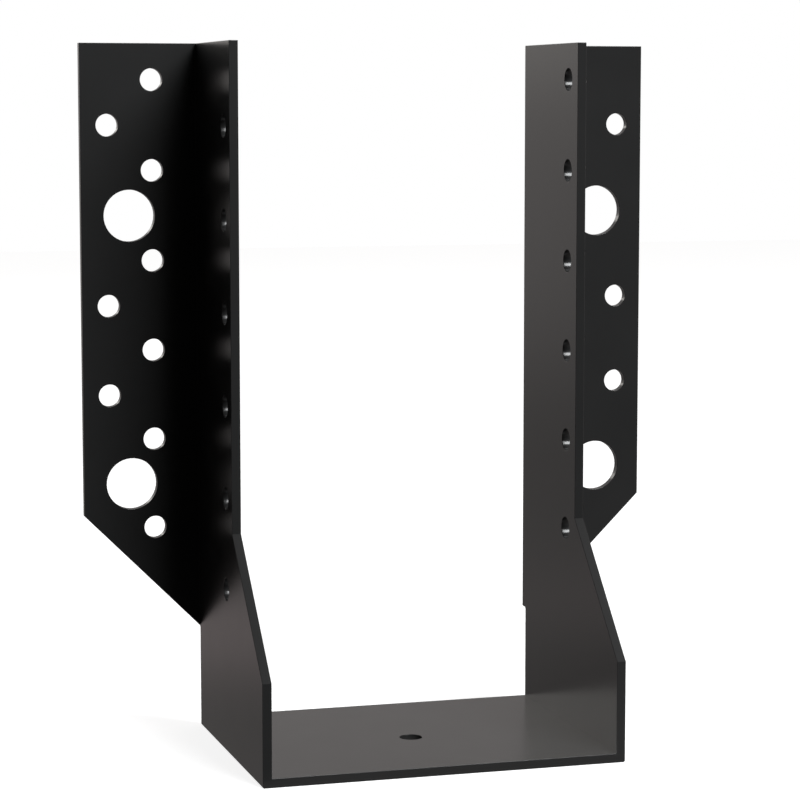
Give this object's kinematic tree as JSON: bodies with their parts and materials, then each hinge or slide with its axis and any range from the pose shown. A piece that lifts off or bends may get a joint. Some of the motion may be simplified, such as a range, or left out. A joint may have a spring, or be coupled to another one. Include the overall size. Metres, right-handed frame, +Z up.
{
  "type": "joist hanger",
  "caption": "Folded steel joist hanger: a U-shaped cradle with sloping side plates and two outward header flanges, punched for nails and bolts.",
  "frame": {"origin": "under the middle of the whole part's box, in the plane of its underside, where it stands", "axes": "+Z up along the side plates, +Y from the open front to the header, +X to the right seen from the front"},
  "size_m": [0.132, 0.0624, 0.154],
  "materials": {
    "black_coated_steel": "gloss"
  },
  "bodies": {
    "root": {"hanger": "black_coated_steel"}
  },
  "joints": []
}
